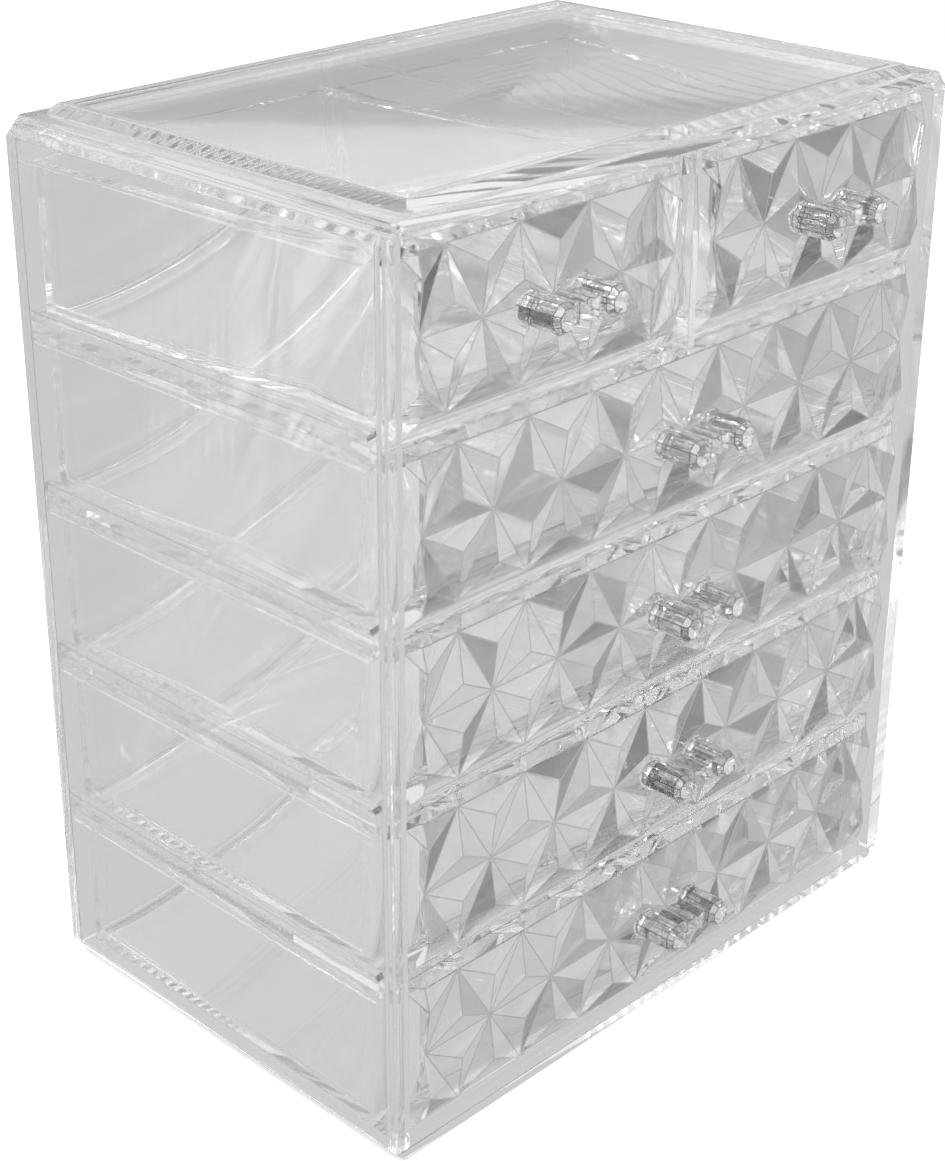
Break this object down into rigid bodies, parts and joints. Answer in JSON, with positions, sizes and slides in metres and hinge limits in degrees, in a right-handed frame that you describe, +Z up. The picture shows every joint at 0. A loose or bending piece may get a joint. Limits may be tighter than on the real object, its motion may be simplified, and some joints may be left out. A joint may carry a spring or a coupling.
{
  "type": "makeup organizer with drawers",
  "caption": "Clear table-top organizer with facet-fronted drawers in a bevelled cabinet, each with a twin-barrel pull, and a raised stacking rim on top.",
  "frame": {"origin": "centre of the flat underside of the base", "axes": "+Z up, the drawers face and open along -Y, +X to the right as seen from the front"},
  "size_m": [0.24, 0.1695, 0.2848],
  "materials": {
    "cabinet_clear": "clear polished acrylic",
    "drawer_clear": "clear polished acrylic with diamond facets",
    "pull_clear": "clear cut-glass style acrylic"
  },
  "bodies": {
    "case": {"case_left_wall": "cabinet_clear", "case_right_wall": "cabinet_clear", "case_back_wall": "cabinet_clear", "case_base": "cabinet_clear", "case_top": "cabinet_clear", "shelf_1": "cabinet_clear", "shelf_2": "cabinet_clear", "shelf_3": "cabinet_clear", "shelf_4": "cabinet_clear", "centre_divider": "cabinet_clear"},
    "drawer_small_left": {"small_drawer_left": "drawer_clear", "small_pull_left": "pull_clear"},
    "drawer_small_right": {"small_drawer_right": "drawer_clear", "small_pull_right": "pull_clear"},
    "drawer_large_1": {"large_drawer_1": "drawer_clear", "large_pull_1": "pull_clear"},
    "drawer_large_2": {"large_drawer_2": "drawer_clear", "large_pull_2": "pull_clear"},
    "drawer_large_3": {"large_drawer_3": "drawer_clear", "large_pull_3": "pull_clear"},
    "drawer_large_4": {"large_drawer_4": "drawer_clear", "large_pull_4": "pull_clear"}
  },
  "joints": [
    {"name": "small_left_slide", "type": "slide", "parent": "case", "child": "drawer_small_left", "axis": [0, -1, 0], "range_m": [0, 0.12]},
    {"name": "small_right_slide", "type": "slide", "parent": "case", "child": "drawer_small_right", "axis": [0, -1, 0], "range_m": [0, 0.12]},
    {"name": "large_1_slide", "type": "slide", "parent": "case", "child": "drawer_large_1", "axis": [0, -1, 0], "range_m": [0, 0.12]},
    {"name": "large_2_slide", "type": "slide", "parent": "case", "child": "drawer_large_2", "axis": [0, -1, 0], "range_m": [0, 0.12]},
    {"name": "large_3_slide", "type": "slide", "parent": "case", "child": "drawer_large_3", "axis": [0, -1, 0], "range_m": [0, 0.12]},
    {"name": "large_4_slide", "type": "slide", "parent": "case", "child": "drawer_large_4", "axis": [0, -1, 0], "range_m": [0, 0.12]}
  ]
}
